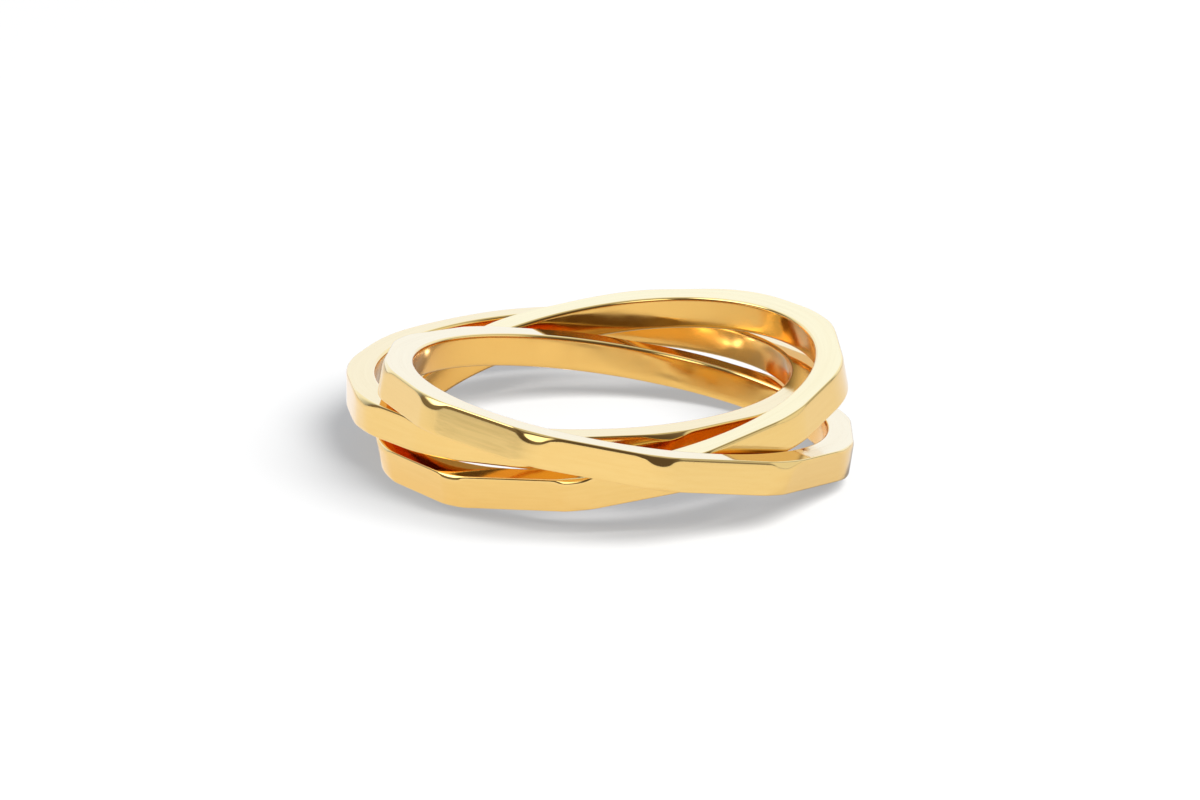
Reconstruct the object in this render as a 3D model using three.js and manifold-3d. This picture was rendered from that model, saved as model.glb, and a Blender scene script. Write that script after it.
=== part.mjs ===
// Interlocking ring: three equal gold bands, each linked through the other two.
// Every band is a round ring with a smooth bore and bevelled edges, whose outside is cut flat in twelve
// broad facets. Millimetres, +Z up, +X to the right, +Y away from the viewer, standing on z = 0.

import * as THREE from 'three';
import { mergeVertices } from 'three/addons/utils/BufferGeometryUtils.js';
import Module from 'manifold-3d';

// Section of one band
const BORE_RADIUS = 9.1;
const OUTER_RADIUS = 10.58;
const BAND_WIDTH = 1.48;
const BORE_BEVEL = 0.13;
const LOWER_EDGE_BEVEL = { radial: 0.07, axial: 0.16 };
const TURN_SEGMENTS = 96;

// Facets: two neighbouring flats would meet in a sharp ridge at this radius, and the round band blunts it
const RIDGE_RADIUS = 10.66;
const CUTTER_DEPTH = 2;
const CUTTER_LENGTH = 9;
const CUTTER_HEIGHT = 4;

// Polished yellow gold
const GOLD = { color: 0xe6bd6a, roughness: 0.12, metalness: 1 };

// One row for each facet, counter-clockwise seen from above. ridgeDeg is the ridge where the facet starts,
// rub is how far that ridge is rubbed down below the round band, sunk is how much deeper than its span asks
// the facet is cut (shallower where it is below zero), and leanDeg tips its upper edge towards the bore.
const FRONT_FACETS = [
  { ridgeDeg: 16, rub: 0.02, sunk: 0, leanDeg: 1 },
  { ridgeDeg: 45, rub: 0.04, sunk: 0.04, leanDeg: -2 },
  { ridgeDeg: 72, rub: 0.06, sunk: 0.05, leanDeg: 1 },
  { ridgeDeg: 99, rub: 0.04, sunk: 0.03, leanDeg: 2 },
  { ridgeDeg: 127, rub: 0.05, sunk: 0, leanDeg: -1 },
  { ridgeDeg: 159, rub: 0.08, sunk: 0, leanDeg: 1 },
  { ridgeDeg: 189, rub: 0, sunk: 0, leanDeg: -1 },
  { ridgeDeg: 218, rub: 0, sunk: 0, leanDeg: 1 },
  { ridgeDeg: 248.5, rub: 0, sunk: 0, leanDeg: -1 },
  { ridgeDeg: 280, rub: 0, sunk: 0.02, leanDeg: 5 },
  { ridgeDeg: 312, rub: 0, sunk: 0, leanDeg: -5 },
  { ridgeDeg: 344, rub: 0.08, sunk: 0, leanDeg: 1 },
];
const MIDDLE_FACETS = [
  { ridgeDeg: 21, rub: 0.22, sunk: 0.02, leanDeg: 1 },
  { ridgeDeg: 52, rub: 0.22, sunk: 0, leanDeg: -1 },
  { ridgeDeg: 87, rub: 0.2, sunk: 0.06, leanDeg: 2 },
  { ridgeDeg: 114, rub: 0.1, sunk: 0.02, leanDeg: -2 },
  { ridgeDeg: 143, rub: 0.06, sunk: 0.04, leanDeg: 1 },
  { ridgeDeg: 171, rub: 0.04, sunk: -0.1, leanDeg: -1 },
  { ridgeDeg: 200, rub: 0, sunk: 0.02, leanDeg: 1 },
  { ridgeDeg: 228, rub: 0, sunk: 0, leanDeg: -1 },
  { ridgeDeg: 261, rub: 0, sunk: 0, leanDeg: 1 },
  { ridgeDeg: 291, rub: 0.04, sunk: 0.04, leanDeg: 2 },
  { ridgeDeg: 319, rub: 0.06, sunk: 0.02, leanDeg: -1 },
  { ridgeDeg: 348, rub: 0.12, sunk: 0, leanDeg: 1 },
];
const BACK_FACETS = [
  { ridgeDeg: 21, rub: 0.08, sunk: 0.02, leanDeg: -1 },
  { ridgeDeg: 52, rub: 0.04, sunk: 0, leanDeg: 2 },
  { ridgeDeg: 83, rub: 0.1, sunk: 0.22, leanDeg: -1 },
  { ridgeDeg: 113, rub: 0.38, sunk: 0.24, leanDeg: 1 },
  { ridgeDeg: 143, rub: 0.28, sunk: 0.05, leanDeg: -1 },
  { ridgeDeg: 174, rub: 0.15, sunk: 0, leanDeg: 1 },
  { ridgeDeg: 202, rub: 0, sunk: -0.14, leanDeg: 1 },
  { ridgeDeg: 233, rub: 0, sunk: -0.03, leanDeg: 2 },
  { ridgeDeg: 262, rub: 0, sunk: 0, leanDeg: -1 },
  { ridgeDeg: 291, rub: 0.02, sunk: 0, leanDeg: 1 },
  { ridgeDeg: 321, rub: 0.08, sunk: 0.02, leanDeg: -2 },
  { ridgeDeg: 351, rub: 0.06, sunk: 0.03, leanDeg: 1 },
];

// Each band's facets, the hand-filed bevel of its upper outer edge, its centre, and its axis leaning from
// upright by leanDeg towards the compass direction towardDeg
const BANDS = [
  {
    name: 'front_band',
    facets: FRONT_FACETS,
    upperEdgeBevel: { radial: 0.15, axial: 0.42 },
    centre: [0.875, -1.875, 2.652],
    leanDeg: 10.73,
    towardDeg: 30.5,
  },
  {
    name: 'middle_band',
    facets: MIDDLE_FACETS,
    upperEdgeBevel: { radial: 0.12, axial: 0.22 },
    centre: [0.589, -0.012, 2.565],
    leanDeg: 10.06,
    towardDeg: 199.1,
  },
  {
    name: 'back_band',
    facets: BACK_FACETS,
    upperEdgeBevel: { radial: 0.14, axial: 0.34 },
    centre: [-0.639, 1.95, 2.446],
    leanDeg: 2.59,
    towardDeg: 102.4,
  },
];

const wasm = await Module();
wasm.setup();

// Closed solid of a three.js geometry
function solidOf(geometry) {
  const bare = geometry.clone();
  bare.deleteAttribute('normal');
  bare.deleteAttribute('uv');
  const merged = mergeVertices(bare);
  return new wasm.Manifold(new wasm.Mesh({
    numProp: 3,
    vertProperties: new Float32Array(merged.attributes.position.array),
    triVerts: new Uint32Array(merged.index.array),
  }));
}

// Geometry of a closed solid
function geometryOf(solid) {
  const mesh = solid.getMesh();
  const geometry = new THREE.BufferGeometry();
  geometry.setAttribute('position', new THREE.BufferAttribute(mesh.vertProperties, mesh.numProp));
  geometry.setIndex(new THREE.BufferAttribute(mesh.triVerts, 1));
  geometry.computeVertexNormals();
  return geometry;
}

// Round band before faceting: its section, bevelled on all four edges, turned about +Z
function roundBand(upperEdgeBevel) {
  const half = BAND_WIDTH / 2;
  const section = [
    new THREE.Vector2(BORE_RADIUS, BORE_BEVEL - half),
    new THREE.Vector2(BORE_RADIUS + BORE_BEVEL, -half),
    new THREE.Vector2(OUTER_RADIUS - LOWER_EDGE_BEVEL.radial, -half),
    new THREE.Vector2(OUTER_RADIUS, LOWER_EDGE_BEVEL.axial - half),
    new THREE.Vector2(OUTER_RADIUS, half - upperEdgeBevel.axial),
    new THREE.Vector2(OUTER_RADIUS - upperEdgeBevel.radial, half),
    new THREE.Vector2(BORE_RADIUS + BORE_BEVEL, half),
    new THREE.Vector2(BORE_RADIUS, half - BORE_BEVEL),
  ];
  section.push(section[0].clone());
  return new THREE.LatheGeometry(section, TURN_SEGMENTS).rotateX(Math.PI / 2);
}

// Block whose inner face is a flat at a given distance from the band's axis
function flatCutter(azimuth, distance, lean) {
  return new THREE.BoxGeometry(CUTTER_DEPTH, CUTTER_LENGTH, CUTTER_HEIGHT)
    .translate(CUTTER_DEPTH / 2, 0, 0)
    .rotateY(-lean)
    .translate(distance, 0, 0)
    .rotateZ(azimuth);
}

// The two cuts of one row: the facet itself, and the rubbed ridge where it starts
function facetCutters(facet, nextRidgeDeg) {
  const ridge = THREE.MathUtils.degToRad(facet.ridgeDeg);
  const halfSpan = THREE.MathUtils.degToRad(nextRidgeDeg - facet.ridgeDeg) / 2;
  const flat = RIDGE_RADIUS * Math.cos(halfSpan) - facet.sunk;
  return [
    flatCutter(ridge + halfSpan, flat, THREE.MathUtils.degToRad(facet.leanDeg)),
    flatCutter(ridge, OUTER_RADIUS - facet.rub, 0),
  ];
}

// One band: the round band with every facet and every rubbed ridge cut away
function facetedBand(band) {
  let solid = solidOf(roundBand(band.upperEdgeBevel));
  band.facets.forEach((facet, index) => {
    const nextRidgeDeg = band.facets[index + 1]?.ridgeDeg ?? band.facets[0].ridgeDeg + 360;
    for (const cutter of facetCutters(facet, nextRidgeDeg)) {
      solid = solid.subtract(solidOf(cutter));
    }
  });
  return geometryOf(solid);
}

// Turn that leans a band's axis from upright towards a compass direction
function leanTurn(leanDeg, towardDeg) {
  const toward = THREE.MathUtils.degToRad(towardDeg);
  const hinge = new THREE.Vector3(-Math.sin(toward), Math.cos(toward), 0);
  return new THREE.Quaternion().setFromAxisAngle(hinge, THREE.MathUtils.degToRad(leanDeg));
}

const ring = new THREE.Group();
ring.name = 'interlocking_ring';
for (const band of BANDS) {
  const mesh = new THREE.Mesh(facetedBand(band), new THREE.MeshStandardMaterial(GOLD));
  mesh.name = band.name;
  mesh.position.set(...band.centre);
  mesh.quaternion.copy(leanTurn(band.leanDeg, band.towardDeg));
  ring.add(mesh);
}

export default ring;
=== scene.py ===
"""Looks of the interlocking ring: three linked bands of polished yellow gold on a white studio floor."""

import math
from collections import namedtuple

import bpy
import numpy as np
from mathutils import Matrix, Quaternion, Vector


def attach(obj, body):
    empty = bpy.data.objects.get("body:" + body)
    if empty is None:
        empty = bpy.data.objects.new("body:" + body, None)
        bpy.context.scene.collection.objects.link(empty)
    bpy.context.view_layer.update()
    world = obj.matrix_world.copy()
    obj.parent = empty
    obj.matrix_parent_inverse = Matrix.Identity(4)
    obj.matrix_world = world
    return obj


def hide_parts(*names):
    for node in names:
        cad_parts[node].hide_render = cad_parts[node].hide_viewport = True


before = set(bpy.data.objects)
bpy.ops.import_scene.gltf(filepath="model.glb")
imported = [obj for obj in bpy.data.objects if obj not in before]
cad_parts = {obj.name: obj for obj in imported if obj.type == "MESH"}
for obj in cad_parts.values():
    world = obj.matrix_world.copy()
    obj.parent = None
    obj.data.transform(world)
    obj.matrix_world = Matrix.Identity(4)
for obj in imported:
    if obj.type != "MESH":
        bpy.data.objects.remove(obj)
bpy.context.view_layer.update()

MM = 0.001

# Section of one band, in millimetres
Edge = namedtuple("Edge", "radial axial")
BORE_RADIUS = 9.1
OUTER_RADIUS = 10.58
HALF_WIDTH = 0.74
RIDGE_RADIUS = 10.66
LOWER_BEVEL = Edge(radial=0.07, axial=0.16)

# How far polishing has rounded the edges and softened the bevels and ridges, in millimetres. A ridge is
# softer by RUB_SOFTNESS times the depth to which it is rubbed down.
BORE_ROUND = Edge(radial=0.14, axial=0.2)
UPPER_ROUND = Edge(radial=0.08, axial=0.18)
LOWER_ROUND = Edge(radial=0.05, axial=0.07)
BEVEL_SOFTNESS = 0.05
RIDGE_SOFTNESS = 0.08
RUB_SOFTNESS = 1.2

# Fineness of a band's skin, with a narrow strip of EDGE_MARGIN millimetres beside each rounded edge of a rim
TURN_STEPS = 1080
BORE_STEPS = 6
ROUND_STEPS = 8
RIM_STEPS = 4
WALL_STEPS = 30
EDGE_MARGIN = 0.006

# Facets, counter-clockwise seen from above: the ridge where the facet starts, how far that ridge is rubbed
# down and how much deeper than its span asks the facet is cut, both in millimetres, and its lean towards the
# bore. A flat is followed no further than FLAT_REACH_DEG from its middle.
Facet = namedtuple("Facet", "ridge_deg rub sunk lean_deg")
FLAT_REACH_DEG = 60
FRONT_FACETS = [
    Facet(16, 0.02, 0, 1),
    Facet(45, 0.04, 0.04, -2),
    Facet(72, 0.06, 0.05, 1),
    Facet(99, 0.04, 0.03, 2),
    Facet(127, 0.05, 0, -1),
    Facet(159, 0.08, 0, 1),
    Facet(189, 0, 0, -1),
    Facet(218, 0, 0, 1),
    Facet(248.5, 0, 0, -1),
    Facet(280, 0, 0.02, 5),
    Facet(312, 0, 0, -5),
    Facet(344, 0.08, 0, 1),
]
MIDDLE_FACETS = [
    Facet(21, 0.22, 0.02, 1),
    Facet(52, 0.22, 0, -1),
    Facet(87, 0.2, 0.06, 2),
    Facet(114, 0.1, 0.02, -2),
    Facet(143, 0.06, 0.04, 1),
    Facet(171, 0.04, -0.1, -1),
    Facet(200, 0, 0.02, 1),
    Facet(228, 0, 0, -1),
    Facet(261, 0, 0, 1),
    Facet(291, 0.04, 0.04, 2),
    Facet(319, 0.06, 0.02, -1),
    Facet(348, 0.12, 0, 1),
]
BACK_FACETS = [
    Facet(21, 0.08, 0.02, -1),
    Facet(52, 0.04, 0, 2),
    Facet(83, 0.1, 0.22, -1),
    Facet(113, 0.38, 0.24, 1),
    Facet(143, 0.28, 0.05, -1),
    Facet(174, 0.15, 0, 1),
    Facet(202, 0, -0.14, 1),
    Facet(233, 0, -0.03, 2),
    Facet(262, 0, 0, -1),
    Facet(291, 0.02, 0, 1),
    Facet(321, 0.08, 0.02, -2),
    Facet(351, 0.06, 0.03, 1),
]

# Each band: its node and the body it moves with, its facets, the hand-filed bevel of its upper outer edge,
# its centre in millimetres, and its axis leaning from upright towards a compass direction
BANDS = [
    {
        "node": "front_band",
        "body": "front",
        "facets": FRONT_FACETS,
        "upper_bevel": Edge(radial=0.15, axial=0.42),
        "centre": (0.875, -1.875, 2.652),
        "lean_deg": 10.73,
        "toward_deg": 30.5,
    },
    {
        "node": "middle_band",
        "body": "middle",
        "facets": MIDDLE_FACETS,
        "upper_bevel": Edge(radial=0.12, axial=0.22),
        "centre": (0.589, -0.012, 2.565),
        "lean_deg": 10.06,
        "toward_deg": 199.1,
    },
    {
        "node": "back_band",
        "body": "back",
        "facets": BACK_FACETS,
        "upper_bevel": Edge(radial=0.14, axial=0.34),
        "centre": (-0.639, 1.95, 2.446),
        "lean_deg": 2.59,
        "toward_deg": 102.4,
    },
]

# Camera, in millimetres and degrees
CAMERA_TARGET = (0.099, -0.023, 2.425)
CAMERA_DISTANCE = 400
CAMERA_AZIMUTH = 0.111
CAMERA_ELEVATION = 19.122
CAMERA_ROLL = 0.339
SENSOR_WIDTH = 36
LENS = 274.9

# Studio light, seen from the ring: soft round cards and dark flags by direction, angular radius and width of
# the soft edge, in degrees. A card lifts the room's light to its own, and a flag hides what is behind it.
Card = namedtuple("Card", "name azimuth elevation radius soft light")
Flag = namedtuple("Flag", "name azimuth elevation radius soft")
ROOM_LIGHT = (0.22, 0.2, 0.19)
FLAG_LIGHT = (0.12, 0.1, 0.09, 1)
CARDS = [
    Card("tent", 90, 62, 55, 20, (0.65, 0.72, 0.85)),
    Card("back", 90, 10, 55, 30, (1.05, 1.3, 1.85)),
    Card("upper_back", 97, 36, 16, 6, (1.1, 1.48, 2.5)),
    Card("right", 0, 12, 30, 20, (0.9, 1.0, 1.2)),
    Card("front", -120, 31, 15, 5, (2.0, 2.2, 2.35)),
    Card("side", 176, 36, 18, 6, (2.8, 3.2, 3.9)),
]
FLAGS = [
    Flag("camera", -74, 20, 34, 24),
    Flag("stand", -146, 30, 8, 5),
    Flag("table", -143, 8, 13, 8),
]

# White paper under the ring: as it is seen, and as the gold mirrors it. The mirrored sheet carries soft round
# pools of painted light, in millimetres, standing in for the light that the polished bores and a far lamp
# would throw on it.
PaintedPool = namedtuple("PaintedPool", "x y radius light")
FLOOR_SIZE = 4000
FLOOR_ROUGHNESS = 0.9
GLOW_COLOUR = (1, 1, 1, 1)
SEEN_FLOOR = {"name": "seen_floor", "colour": (0.087, 0.086, 0.084, 1), "glow": 0.405, "painted_pools": []}
MIRRORED_FLOOR = {
    "name": "mirrored_floor",
    "colour": (0.6, 0.595, 0.6, 1),
    "glow": 0.1,
    # Painted light: two small hot spots and a wider glow on the paper behind the front band, which the bores
    # mirror as glints, and a broad glow far to the front left, which the front facets mirror
    "painted_pools": [
        PaintedPool(-2.5, 10.2, 0.75, 6.0),
        PaintedPool(-1.4, 8.9, 0.65, 6.0),
        PaintedPool(-1.2, 10.8, 2.0, 0.6),
        PaintedPool(-150, -62, 110, 0.3),
    ],
}

# Lamps, in millimetres and degrees: one throws the soft shadow that is seen, one lights the mirrored paper
SHADOW_LAMP = {
    "name": "shadow_lamp",
    "azimuth": -35,
    "elevation": 53,
    "distance": 1500,
    "size": 1300,
    "spread": 180,
    "power": 215,
    "colour": (1.0, 1.0, 1.0),
}
FRONT_LAMP = {
    "name": "front_lamp",
    "azimuth": -122,
    "elevation": 54,
    "distance": 300,
    "size": 70,
    "spread": 65,
    "power": 0.112,
    "colour": (1.0, 0.96, 0.87),
}

# Polished gold: its colour and its deeper tone in the lines that polishing left along the band, soft
# unevenness that is stronger in the bore, and a bore that is duller and redder. A grain gives how fine the
# pattern is round the band, twice, and across it.
GOLD_COLOUR = (0.89, 0.595, 0.205, 1)
GOLD_DEEP_COLOUR = (0.875, 0.575, 0.19, 1)
BORE_COLOUR = (0.9, 0.54, 0.145, 1)
GOLD_EDGE_COLOUR = (1.0, 1.0, 1.0, 1)
LINE_GRAIN = (2.0, 2.0, 7.0)
LINE_HEIGHT = 0.00005
CLOUD_GRAIN = (6.0, 6.0, 0.8)
CLOUD_HEIGHT = 0.005
CLOUD_STRENGTH = (0.3, 1)
NOISE_DETAIL = 2
NOISE_MIDDLE = (0.35, 0.65)
NOISE_WIDE = (0.3, 0.7)
POLISH_ROUGHNESS = (0.05, 0.1)
BORE_ROUGHNESS = (0.08, 0.2)
BORE_FADE = 0.035
MIRROR_BOUNCES = 9


def smooth_min(a, b, softness):
    """Lower of two surfaces, with the crease between them rounded."""
    near = np.clip(softness - np.abs(a - b), 0, None)
    return np.minimum(a, b) - near * near / (4 * softness)


def flat_radius(azimuth, height, facing, distance, lean):
    """Radius at which a flat of that facing, distance from the axis and lean meets each direction."""
    reach = math.radians(FLAT_REACH_DEG)
    turn = np.angle(np.exp(1j * (azimuth - facing)))
    return (distance - height * math.tan(lean)) / np.cos(np.clip(turn, -reach, reach))


def outer_radius(band, azimuth, height):
    """Radius of the band's outside: flats with rubbed ridges, bevelled at the upper and lower edges."""
    facets = band["facets"]
    ridges = [math.radians(facet.ridge_deg) for facet in facets]
    radius = np.full_like(azimuth, OUTER_RADIUS)
    for facet, ridge, following in zip(facets, ridges, ridges[1:] + [ridges[0] + math.tau]):
        half_span = (following - ridge) / 2
        flat = RIDGE_RADIUS * math.cos(half_span) - facet.sunk
        lean = math.radians(facet.lean_deg)
        softness = RIDGE_SOFTNESS + RUB_SOFTNESS * facet.rub
        facet_radius = flat_radius(azimuth, height, ridge + half_span, flat, lean)
        rubbed_radius = flat_radius(azimuth, height, ridge, OUTER_RADIUS - facet.rub, 0)
        radius = smooth_min(radius, facet_radius, softness)
        radius = smooth_min(radius, rubbed_radius, softness)
    for bevel, from_edge in ((band["upper_bevel"], HALF_WIDTH - height), (LOWER_BEVEL, HALF_WIDTH + height)):
        cone = OUTER_RADIUS - bevel.radial + from_edge * bevel.radial / bevel.axial
        radius = smooth_min(radius, cone, BEVEL_SOFTNESS)
    return radius


def straight(start, end, steps):
    """Points on a straight line of the section, both ends included."""
    shares = np.linspace(0, 1, steps + 1)
    return [tuple(a + (b - a) * share for a, b in zip(start, end)) for share in shares]


def rounding(start, corner, end):
    """Points of a rounded corner of the section, both ends left out."""
    points = []
    for t in np.linspace(0, 1, ROUND_STEPS + 1)[1:-1]:
        before, middle, after = (1 - t) ** 2, 2 * t * (1 - t), t ** 2
        points.append(tuple(before * a + middle * b + after * c for a, b, c in zip(start, corner, end)))
    return points


def section_ring(band, azimuth):
    """Radii and heights of the band's section at every azimuth: two grids, turn steps by section points."""
    bore_top = HALF_WIDTH - BORE_ROUND.axial
    rim_start = BORE_RADIUS + BORE_ROUND.radial
    wall_top = HALF_WIDTH - UPPER_ROUND.axial
    wall_bottom = LOWER_ROUND.axial - HALF_WIDTH
    upper = outer_radius(band, azimuth, HALF_WIDTH)
    lower = outer_radius(band, azimuth, -HALF_WIDTH)
    upper_end = upper - UPPER_ROUND.radial
    lower_end = lower - LOWER_ROUND.radial
    wall_heights = np.linspace(wall_top, wall_bottom, WALL_STEPS + 1)
    wall = [(outer_radius(band, azimuth, height), height) for height in wall_heights]
    inner = rim_start + EDGE_MARGIN

    section = straight((BORE_RADIUS, -bore_top), (BORE_RADIUS, bore_top), BORE_STEPS)
    section += rounding((BORE_RADIUS, bore_top), (BORE_RADIUS, HALF_WIDTH), (rim_start, HALF_WIDTH))
    section += [(rim_start, HALF_WIDTH)]
    section += straight((inner, HALF_WIDTH), (upper_end - EDGE_MARGIN, HALF_WIDTH), RIM_STEPS)
    section += [(upper_end, HALF_WIDTH)]
    section += rounding((upper_end, HALF_WIDTH), (upper, HALF_WIDTH), wall[0])
    section += wall
    section += rounding(wall[-1], (lower, -HALF_WIDTH), (lower_end, -HALF_WIDTH))
    section += [(lower_end, -HALF_WIDTH)]
    section += straight((lower_end - EDGE_MARGIN, -HALF_WIDTH), (inner, -HALF_WIDTH), RIM_STEPS)
    section += [(rim_start, -HALF_WIDTH)]
    section += rounding((rim_start, -HALF_WIDTH), (BORE_RADIUS, -HALF_WIDTH), (BORE_RADIUS, -bore_top))

    radii = np.stack([radius + 0 * azimuth for radius, height in section], 1)
    heights = np.stack([height + 0 * azimuth for radius, height in section], 1)
    return radii, heights


def band_mesh(band):
    """Closed smooth mesh of one band in its resting place, with each point's place on the lathe."""
    azimuth = np.linspace(0, math.tau, TURN_STEPS, endpoint=False)
    radii, heights = section_ring(band, azimuth)
    facing = np.broadcast_to(azimuth[:, None], radii.shape)
    local = np.stack([radii * np.cos(facing), radii * np.sin(facing), heights], 2)
    toward = math.radians(band["toward_deg"])
    hinge = Vector((-math.sin(toward), math.cos(toward), 0))
    turn = np.array(Quaternion(hinge, math.radians(band["lean_deg"])).to_matrix())
    points = (local @ turn.T + np.array(band["centre"])) * MM

    steps, ring = radii.shape
    first = np.arange(steps)[:, None] * ring
    following = np.roll(first, -1, axis=0)
    here = np.arange(ring)[None, :]
    beside = np.roll(here, -1, axis=1)
    quads = np.stack([first + here, following + here, following + beside, first + beside], 2).reshape(-1, 4)

    mesh = bpy.data.meshes.new(band["node"] + "_skin")
    mesh.from_pydata(points.reshape(-1, 3).tolist(), [], quads.tolist())
    mesh.polygons.foreach_set("use_smooth", np.ones(len(quads), bool))
    turned = mesh.attributes.new("turned", "FLOAT_VECTOR", "POINT")
    turned.data.foreach_set("vector", np.stack([np.cos(facing), np.sin(facing), heights], 2).ravel())
    depth = mesh.attributes.new("depth", "FLOAT", "POINT")
    depth.data.foreach_set("value", radii.ravel())
    mesh.update()
    return mesh


def add_node(tree, kind, **settings):
    """New shader node with its settings."""
    node = tree.nodes.new(kind)
    for name, value in settings.items():
        setattr(node, name, value)
    return node


def map_range(tree, value, from_range, to_range, **settings):
    """Value carried from one range to another."""
    node = add_node(tree, "ShaderNodeMapRange", **settings)
    for name, number in zip(("From Min", "From Max", "To Min", "To Max"), (*from_range, *to_range)):
        node.inputs[name].default_value = number
    tree.links.new(value, node.inputs["Value"])
    return node.outputs["Result"]


def lathe_noise(tree, turned, depth, grain):
    """Noise that closes round the band and runs along it."""
    place = add_node(tree, "ShaderNodeVectorMath", operation="MULTIPLY")
    place.inputs[1].default_value = grain
    inward = add_node(tree, "ShaderNodeMath", operation="MULTIPLY")
    inward.inputs[1].default_value = grain[2]
    noise = add_node(tree, "ShaderNodeTexNoise", noise_dimensions="4D")
    noise.inputs["Scale"].default_value = 1
    noise.inputs["Detail"].default_value = NOISE_DETAIL
    tree.links.new(turned, place.inputs[0])
    tree.links.new(depth, inward.inputs[0])
    tree.links.new(place.outputs["Vector"], noise.inputs["Vector"])
    tree.links.new(inward.outputs["Value"], noise.inputs["W"])
    return noise.outputs["Fac"]


def gold_material():
    """Polished yellow gold with fine lines along the band, soft unevenness and a duller bore."""
    material = bpy.data.materials.new("polished_gold")
    material.use_nodes = True
    tree = material.node_tree
    shader = tree.nodes["Principled BSDF"]
    shader.inputs["Metallic"].default_value = 1
    shader.inputs["Specular Tint"].default_value = GOLD_EDGE_COLOUR
    turned = add_node(tree, "ShaderNodeAttribute", attribute_name="turned").outputs["Vector"]
    depth = add_node(tree, "ShaderNodeAttribute", attribute_name="depth").outputs["Fac"]
    lines = lathe_noise(tree, turned, depth, LINE_GRAIN)
    clouds = lathe_noise(tree, turned, depth, CLOUD_GRAIN)
    in_bore = map_range(tree, depth, (BORE_RADIUS, BORE_RADIUS + BORE_FADE), (1, 0))

    outside = add_node(tree, "ShaderNodeMix", data_type="RGBA")
    outside.inputs["A"].default_value = GOLD_COLOUR
    outside.inputs["B"].default_value = GOLD_DEEP_COLOUR
    colour = add_node(tree, "ShaderNodeMix", data_type="RGBA")
    colour.inputs["B"].default_value = BORE_COLOUR
    tree.links.new(map_range(tree, lines, NOISE_MIDDLE, (0, 1)), outside.inputs["Factor"])
    tree.links.new(outside.outputs["Result"], colour.inputs["A"])
    tree.links.new(in_bore, colour.inputs["Factor"])
    tree.links.new(colour.outputs["Result"], shader.inputs["Base Color"])

    roughness = add_node(tree, "ShaderNodeMix", data_type="FLOAT")
    tree.links.new(in_bore, roughness.inputs["Factor"])
    tree.links.new(map_range(tree, lines, NOISE_WIDE, POLISH_ROUGHNESS), roughness.inputs["A"])
    tree.links.new(map_range(tree, clouds, NOISE_MIDDLE, BORE_ROUGHNESS), roughness.inputs["B"])
    tree.links.new(roughness.outputs["Result"], shader.inputs["Roughness"])

    waves = add_node(tree, "ShaderNodeBump")
    waves.inputs["Distance"].default_value = CLOUD_HEIGHT * MM
    tree.links.new(map_range(tree, in_bore, (0, 1), CLOUD_STRENGTH), waves.inputs["Strength"])
    tree.links.new(clouds, waves.inputs["Height"])
    scratches = add_node(tree, "ShaderNodeBump")
    scratches.inputs["Distance"].default_value = LINE_HEIGHT * MM
    tree.links.new(lines, scratches.inputs["Height"])
    tree.links.new(waves.outputs["Normal"], scratches.inputs["Normal"])
    tree.links.new(scratches.outputs["Normal"], shader.inputs["Normal"])
    return material


def build_bands():
    """Three skins of gold, each in place of its node and moving with its body."""
    gold = gold_material()
    for band in BANDS:
        piece = bpy.data.objects.new(band["node"] + "_skin", band_mesh(band))
        piece.data.materials.append(gold)
        bpy.context.scene.collection.objects.link(piece)
        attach(piece, band["body"])
        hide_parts(band["node"])


def glow_with_painted_pools(tree, look):
    """Glow of the paper with its soft round pools of painted light added one after another."""
    place = add_node(tree, "ShaderNodeTexCoord").outputs["Object"]
    level = None
    for painted_pool in look["painted_pools"]:
        # each pool adds painted light to the paper's glow, fading smoothly from its middle to its rim
        apart = add_node(tree, "ShaderNodeVectorMath", operation="DISTANCE")
        apart.inputs[1].default_value = (painted_pool.x * MM, painted_pool.y * MM, 0)
        tree.links.new(place, apart.inputs[0])
        distance = apart.outputs["Value"]
        fade = (painted_pool.radius * MM, 0)
        pool_light = map_range(tree, distance, fade, (0, painted_pool.light), interpolation_type="SMOOTHSTEP")
        brighter = add_node(tree, "ShaderNodeMath", operation="ADD")
        brighter.inputs[0].default_value = look["glow"]
        tree.links.new(pool_light, brighter.inputs[1])
        if level:
            tree.links.new(level, brighter.inputs[0])
        level = brighter.outputs["Value"]
    return level


def build_floor(look):
    """Sheet of paper that neither shades nor lights the other sheet."""
    half = FLOOR_SIZE / 2 * MM
    corners = [(-half, -half, 0), (half, -half, 0), (half, half, 0), (-half, half, 0)]
    mesh = bpy.data.meshes.new(look["name"])
    mesh.from_pydata(corners, [], [(0, 1, 2, 3)])
    material = bpy.data.materials.new(look["name"])
    material.use_nodes = True
    tree = material.node_tree
    shader = tree.nodes["Principled BSDF"]
    shader.inputs["Base Color"].default_value = look["colour"]
    shader.inputs["Roughness"].default_value = FLOOR_ROUGHNESS
    shader.inputs["Specular IOR Level"].default_value = 0
    shader.inputs["Emission Color"].default_value = GLOW_COLOUR
    shader.inputs["Emission Strength"].default_value = look["glow"]
    # the mirrored sheet's glow carries its painted pools of light
    if look["painted_pools"]:
        tree.links.new(glow_with_painted_pools(tree, look), shader.inputs["Emission Strength"])
    mesh.materials.append(material)
    floor = bpy.data.objects.new(look["name"], mesh)
    floor.visible_shadow = False
    floor.visible_diffuse = False
    bpy.context.scene.collection.objects.link(floor)
    return floor


def direction(azimuth_deg, elevation_deg):
    """Unit vector of a direction, with azimuth from +X towards +Y."""
    azimuth = math.radians(azimuth_deg)
    elevation = math.radians(elevation_deg)
    level = math.cos(elevation)
    return Vector((math.cos(azimuth) * level, math.sin(azimuth) * level, math.sin(elevation)))


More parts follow.
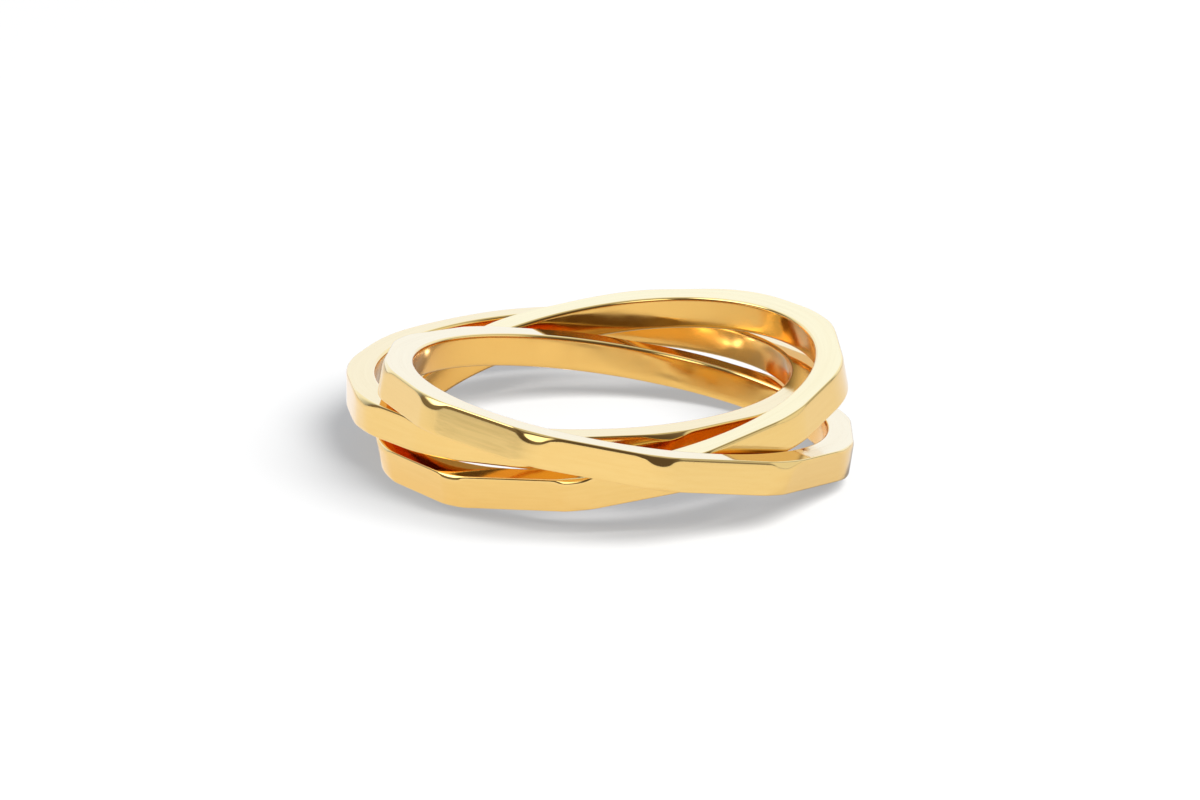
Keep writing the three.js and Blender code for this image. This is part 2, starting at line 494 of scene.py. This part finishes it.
def soft_disc(tree, where, card):
    """How far a direction lies inside a soft round card, from 0 to 1."""
    facing = add_node(tree, "ShaderNodeVectorMath", operation="DOT_PRODUCT", label=card.name)
    facing.inputs[1].default_value = direction(card.azimuth, card.elevation)
    angle = add_node(tree, "ShaderNodeMath", operation="ARCCOSINE")
    tree.links.new(where, facing.inputs[0])
    tree.links.new(facing.outputs["Value"], angle.inputs[0])
    outer = math.radians(card.radius + card.soft / 2)
    inner = math.radians(card.radius - card.soft / 2)
    return map_range(tree, angle.outputs["Value"], (outer, inner), (0, 1), interpolation_type="SMOOTHSTEP")


def build_world():
    """Studio of soft white light round the ring, with the side towards the camera left dark."""
    world = bpy.data.worlds.new("studio")
    world.use_nodes = True
    bpy.context.scene.world = world
    tree = world.node_tree
    where = add_node(tree, "ShaderNodeTexCoord").outputs["Generated"]
    sky = add_node(tree, "ShaderNodeCombineXYZ")
    for channel, level in zip(sky.inputs, ROOM_LIGHT):
        channel.default_value = level
    light = sky.outputs["Vector"]
    for card in CARDS:
        share = add_node(tree, "ShaderNodeVectorMath", operation="SCALE")
        share.inputs[0].default_value = card.light
        tree.links.new(soft_disc(tree, where, card), share.inputs["Scale"])
        brighter = add_node(tree, "ShaderNodeVectorMath", operation="MAXIMUM")
        tree.links.new(light, brighter.inputs[0])
        tree.links.new(share.outputs["Vector"], brighter.inputs[1])
        light = brighter.outputs["Vector"]
    for flag in FLAGS:
        hide = add_node(tree, "ShaderNodeMix", data_type="RGBA")
        hide.inputs["B"].default_value = FLAG_LIGHT
        tree.links.new(soft_disc(tree, where, flag), hide.inputs["Factor"])
        tree.links.new(light, hide.inputs["A"])
        light = hide.outputs["Result"]
    tree.links.new(light, tree.nodes["Background"].inputs["Color"])


def build_lamp(lamp, floor):
    """Soft round lamp that lights one sheet of paper alone."""
    facing = direction(lamp["azimuth"], lamp["elevation"])
    light = bpy.data.lights.new(lamp["name"], "AREA")
    light.shape = "DISK"
    light.size = lamp["size"] * MM
    light.spread = math.radians(lamp["spread"])
    light.energy = lamp["power"]
    light.color = lamp["colour"]
    lit = bpy.data.collections.new(lamp["name"] + "_reach")
    lit.objects.link(floor)
    head = bpy.data.objects.new(lamp["name"], light)
    head.location = facing * lamp["distance"] * MM
    head.rotation_euler = facing.to_track_quat("Z", "Y").to_euler()
    head.light_linking.receiver_collection = lit
    bpy.context.scene.collection.objects.link(head)


def build_camera():
    """Long lens looking slightly down on the ring."""
    azimuth = math.radians(CAMERA_AZIMUTH)
    elevation = math.radians(CAMERA_ELEVATION)
    roll = math.radians(CAMERA_ROLL)
    forward = Vector((
        math.sin(azimuth) * math.cos(elevation),
        math.cos(azimuth) * math.cos(elevation),
        -math.sin(elevation),
    ))
    level = Vector((math.cos(azimuth), -math.sin(azimuth), 0))
    upright = level.cross(forward)
    right = level * math.cos(roll) + upright * math.sin(roll)
    up = right.cross(forward)
    place = (Vector(CAMERA_TARGET) - forward * CAMERA_DISTANCE) * MM
    camera_data = bpy.data.cameras.new("photo_camera")
    camera_data.sensor_fit = "HORIZONTAL"
    camera_data.sensor_width = SENSOR_WIDTH
    camera_data.lens = LENS
    camera = bpy.data.objects.new("photo_camera", camera_data)
    turn = Matrix((right, up, -forward)).transposed().to_4x4()
    camera.matrix_world = Matrix.Translation(place) @ turn
    bpy.context.scene.collection.objects.link(camera)
    bpy.context.scene.camera = camera


build_bands()
seen_floor = build_floor(SEEN_FLOOR)
seen_floor.visible_glossy = False
mirrored_floor = build_floor(MIRRORED_FLOOR)
mirrored_floor.visible_camera = False
build_world()
build_lamp(SHADOW_LAMP, seen_floor)
build_lamp(FRONT_LAMP, mirrored_floor)
build_camera()
bpy.context.scene.view_settings.view_transform = "Standard"
bpy.context.scene.cycles.glossy_bounces = MIRROR_BOUNCES
